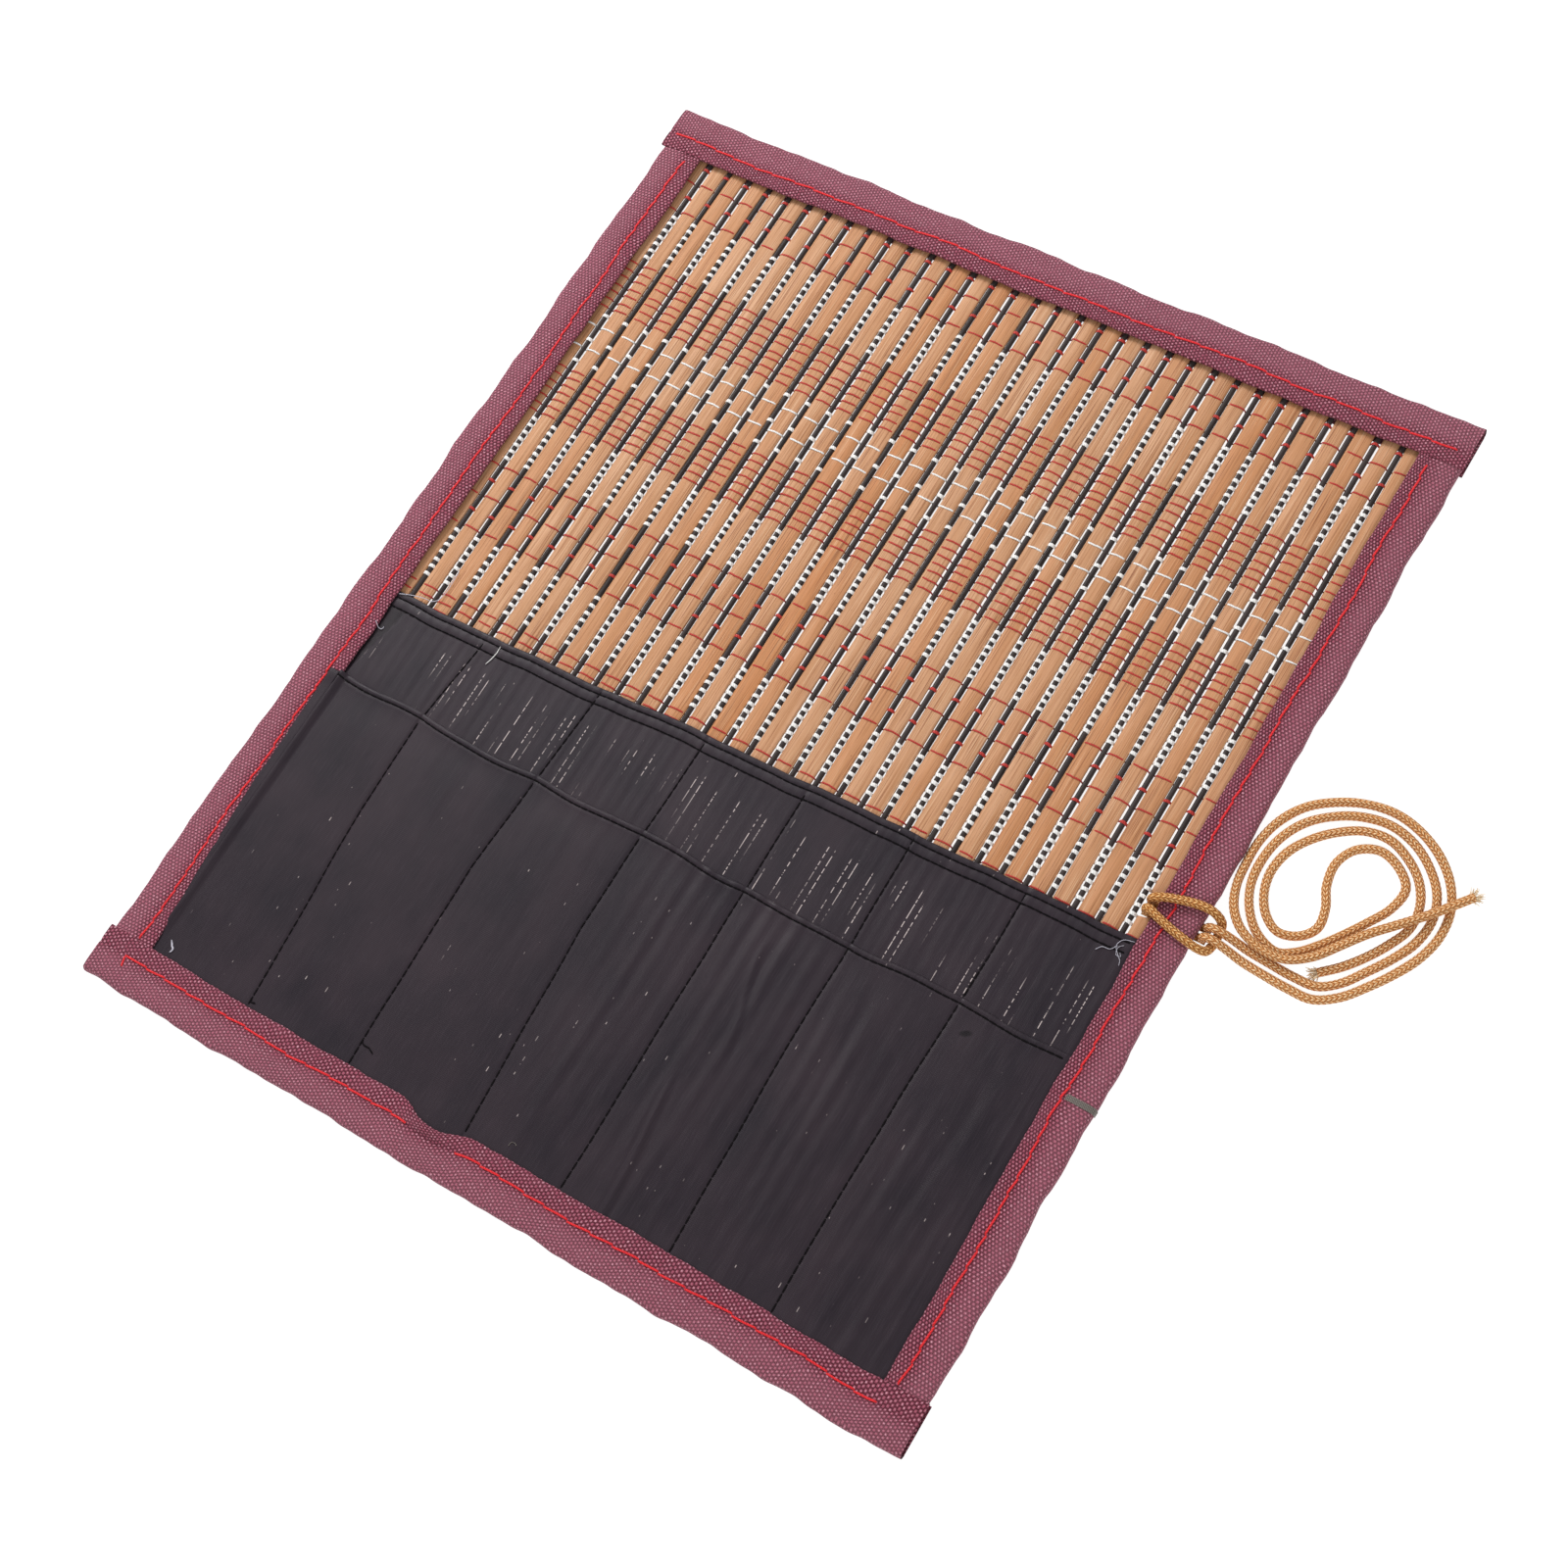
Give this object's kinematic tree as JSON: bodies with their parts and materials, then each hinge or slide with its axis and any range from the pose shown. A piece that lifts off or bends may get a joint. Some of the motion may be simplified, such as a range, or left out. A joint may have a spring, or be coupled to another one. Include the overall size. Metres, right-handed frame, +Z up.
{
  "type": "brush roll case",
  "caption": "Roll-up bamboo slat mat with bound edges, cloth brush pockets and a long tie cord, lying open.",
  "frame": {"origin": "centre of the open mat, on the surface that it lies on", "axes": "+X across the slats towards the edge with the cord, +Y along the slats away from the pockets, +Z up"},
  "size_m": [0.3329, 0.33, 0.0071],
  "materials": {
    "bamboo": "smooth split bamboo, unvarnished; the rods between are dyed black",
    "tape": "coarse woven tape",
    "pocket_cloth": "thin satin-faced lining cloth",
    "red_thread": "sewing thread",
    "dark_thread": "sewing thread",
    "brick_thread": "cotton warp thread",
    "white_thread": "cotton warp thread",
    "cord": "knitted round cord"
  },
  "bodies": {
    "right_edge": {"slat_34": "bamboo", "right_edge_slat": "bamboo", "right_binding": "tape", "right_stitching": "red_thread", "cord_hitch": "cord", "cord_tail_long": "cord", "cord_tail_short": "cord"},
    "link_33": {"slat_33": "bamboo"},
    "link_32": {"slat_32": "bamboo"},
    "link_31": {"slat_31": "bamboo"},
    "link_30": {"slat_30": "bamboo"},
    "link_29": {"slat_29": "bamboo"},
    "link_28": {"slat_28": "bamboo"},
    "link_27": {"slat_27": "bamboo"},
    "link_26": {"slat_26": "bamboo"},
    "link_25": {"slat_25": "bamboo"},
    "link_24": {"slat_24": "bamboo"},
    "link_23": {"slat_23": "bamboo"},
    "link_22": {"slat_22": "bamboo"},
    "link_21": {"slat_21": "bamboo"},
    "link_20": {"slat_20": "bamboo"},
    "link_19": {"slat_19": "bamboo"},
    "link_18": {"slat_18": "bamboo"},
    "link_17": {"slat_17": "bamboo", "top_binding": "tape", "bottom_binding": "tape", "pocket_back": "pocket_cloth", "pocket_front": "pocket_cloth", "top_stitching": "red_thread", "bottom_stitching": "red_thread", "pocket_stitching": "dark_thread", "warp_threads_red": "brick_thread", "warp_threads_white": "white_thread"},
    "link_16": {"slat_16": "bamboo"},
    "link_15": {"slat_15": "bamboo"},
    "link_14": {"slat_14": "bamboo"},
    "link_13": {"slat_13": "bamboo"},
    "link_12": {"slat_12": "bamboo"},
    "link_11": {"slat_11": "bamboo"},
    "link_10": {"slat_10": "bamboo"},
    "link_09": {"slat_09": "bamboo"},
    "link_08": {"slat_08": "bamboo"},
    "link_07": {"slat_07": "bamboo"},
    "link_06": {"slat_06": "bamboo"},
    "link_05": {"slat_05": "bamboo"},
    "link_04": {"slat_04": "bamboo"},
    "link_03": {"slat_03": "bamboo"},
    "link_02": {"slat_02": "bamboo"},
    "left_edge": {"slat_01": "bamboo", "left_edge_slat": "bamboo", "left_binding": "tape", "left_stitching": "red_thread"}
  },
  "joints": [
    {"name": "roll_33", "type": "hinge", "parent": "right_edge", "child": "link_33", "pos_m": [0.11858, 0, 0.0015], "axis": [0, 1, 0], "range_deg": [0, 9.5]},
    {"name": "roll_32", "type": "hinge", "parent": "link_33", "child": "link_32", "pos_m": [0.11114, 0, 0.0015], "axis": [0, 1, 0], "range_deg": [0, 9.6]},
    {"name": "roll_31", "type": "hinge", "parent": "link_32", "child": "link_31", "pos_m": [0.1037, 0, 0.0015], "axis": [0, 1, 0], "range_deg": [0, 16.2]},
    {"name": "roll_30", "type": "hinge", "parent": "link_31", "child": "link_30", "pos_m": [0.09626, 0, 0.0015], "axis": [0, 1, 0], "range_deg": [0, 16.4]},
    {"name": "roll_29", "type": "hinge", "parent": "link_30", "child": "link_29", "pos_m": [0.08882, 0, 0.0015], "axis": [0, 1, 0], "range_deg": [0, 16.6]},
    {"name": "roll_28", "type": "hinge", "parent": "link_29", "child": "link_28", "pos_m": [0.08138, 0, 0.0015], "axis": [0, 1, 0], "range_deg": [0, 16.8]},
    {"name": "roll_27", "type": "hinge", "parent": "link_28", "child": "link_27", "pos_m": [0.07394, 0, 0.0015], "axis": [0, 1, 0], "range_deg": [0, 17]},
    {"name": "roll_26", "type": "hinge", "parent": "link_27", "child": "link_26", "pos_m": [0.0665, 0, 0.0015], "axis": [0, 1, 0], "range_deg": [0, 17.2]},
    {"name": "roll_25", "type": "hinge", "parent": "link_26", "child": "link_25", "pos_m": [0.05906, 0, 0.0015], "axis": [0, 1, 0], "range_deg": [0, 17.5]},
    {"name": "roll_24", "type": "hinge", "parent": "link_25", "child": "link_24", "pos_m": [0.05162, 0, 0.0015], "axis": [0, 1, 0], "range_deg": [0, 17.7]},
    {"name": "roll_23", "type": "hinge", "parent": "link_24", "child": "link_23", "pos_m": [0.04418, 0, 0.0015], "axis": [0, 1, 0], "range_deg": [0, 17.9]},
    {"name": "roll_22", "type": "hinge", "parent": "link_23", "child": "link_22", "pos_m": [0.03674, 0, 0.0015], "axis": [0, 1, 0], "range_deg": [0, 18.2]},
    {"name": "roll_21", "type": "hinge", "parent": "link_22", "child": "link_21", "pos_m": [0.0293, 0, 0.0015], "axis": [0, 1, 0], "range_deg": [0, 18.5]},
    {"name": "roll_20", "type": "hinge", "parent": "link_21", "child": "link_20", "pos_m": [0.02186, 0, 0.0015], "axis": [0, 1, 0], "range_deg": [0, 18.8]},
    {"name": "roll_19", "type": "hinge", "parent": "link_20", "child": "link_19", "pos_m": [0.01442, 0, 0.0015], "axis": [0, 1, 0], "range_deg": [0, 19.1]},
    {"name": "roll_18", "type": "hinge", "parent": "link_19", "child": "link_18", "pos_m": [0.00698, 0, 0.0015], "axis": [0, 1, 0], "range_deg": [0, 19.4]},
    {"name": "roll_17", "type": "hinge", "parent": "link_18", "child": "link_17", "pos_m": [-0.00046, 0, 0.0015], "axis": [0, 1, 0], "range_deg": [0, 19.7], "deforming": ["top_binding", "bottom_binding", "pocket_back", "pocket_front", "top_stitching", "bottom_stitching", "pocket_stitching", "warp_threads_red", "warp_threads_white"]},
    {"name": "roll_16", "type": "hinge", "parent": "link_17", "child": "link_16", "pos_m": [-0.0079, 0, 0.0015], "axis": [0, 1, 0], "range_deg": [0, 20.1]},
    {"name": "roll_15", "type": "hinge", "parent": "link_16", "child": "link_15", "pos_m": [-0.01534, 0, 0.0015], "axis": [0, 1, 0], "range_deg": [0, 20.4]},
    {"name": "roll_14", "type": "hinge", "parent": "link_15", "child": "link_14", "pos_m": [-0.02278, 0, 0.0015], "axis": [0, 1, 0], "range_deg": [0, 20.8]},
    {"name": "roll_13", "type": "hinge", "parent": "link_14", "child": "link_13", "pos_m": [-0.03022, 0, 0.0015], "axis": [0, 1, 0], "range_deg": [0, 21.2]},
    {"name": "roll_12", "type": "hinge", "parent": "link_13", "child": "link_12", "pos_m": [-0.03766, 0, 0.0015], "axis": [0, 1, 0], "range_deg": [0, 21.7]},
    {"name": "roll_11", "type": "hinge", "parent": "link_12", "child": "link_11", "pos_m": [-0.0451, 0, 0.0015], "axis": [0, 1, 0], "range_deg": [0, 22.1]},
    {"name": "roll_10", "type": "hinge", "parent": "link_11", "child": "link_10", "pos_m": [-0.05254, 0, 0.0015], "axis": [0, 1, 0], "range_deg": [0, 22.6]},
    {"name": "roll_09", "type": "hinge", "parent": "link_10", "child": "link_09", "pos_m": [-0.05998, 0, 0.0015], "axis": [0, 1, 0], "range_deg": [0, 23.1]},
    {"name": "roll_08", "type": "hinge", "parent": "link_09", "child": "link_08", "pos_m": [-0.06742, 0, 0.0015], "axis": [0, 1, 0], "range_deg": [0, 23.7]},
    {"name": "roll_07", "type": "hinge", "parent": "link_08", "child": "link_07", "pos_m": [-0.07486, 0, 0.0015], "axis": [0, 1, 0], "range_deg": [0, 24.3]},
    {"name": "roll_06", "type": "hinge", "parent": "link_07", "child": "link_06", "pos_m": [-0.0823, 0, 0.0015], "axis": [0, 1, 0], "range_deg": [0, 25]},
    {"name": "roll_05", "type": "hinge", "parent": "link_06", "child": "link_05", "pos_m": [-0.08974, 0, 0.0015], "axis": [0, 1, 0], "range_deg": [0, 25.7]},
    {"name": "roll_04", "type": "hinge", "parent": "link_05", "child": "link_04", "pos_m": [-0.09718, 0, 0.0015], "axis": [0, 1, 0], "range_deg": [0, 26.5]},
    {"name": "roll_03", "type": "hinge", "parent": "link_04", "child": "link_03", "pos_m": [-0.10462, 0, 0.0015], "axis": [0, 1, 0], "range_deg": [0, 27.4]},
    {"name": "roll_02", "type": "hinge", "parent": "link_03", "child": "link_02", "pos_m": [-0.11206, 0, 0.0015], "axis": [0, 1, 0], "range_deg": [0, 28.3]},
    {"name": "roll_01", "type": "hinge", "parent": "link_02", "child": "left_edge", "pos_m": [-0.1195, 0, 0.0015], "axis": [0, 1, 0], "range_deg": [0, 50]}
  ]
}
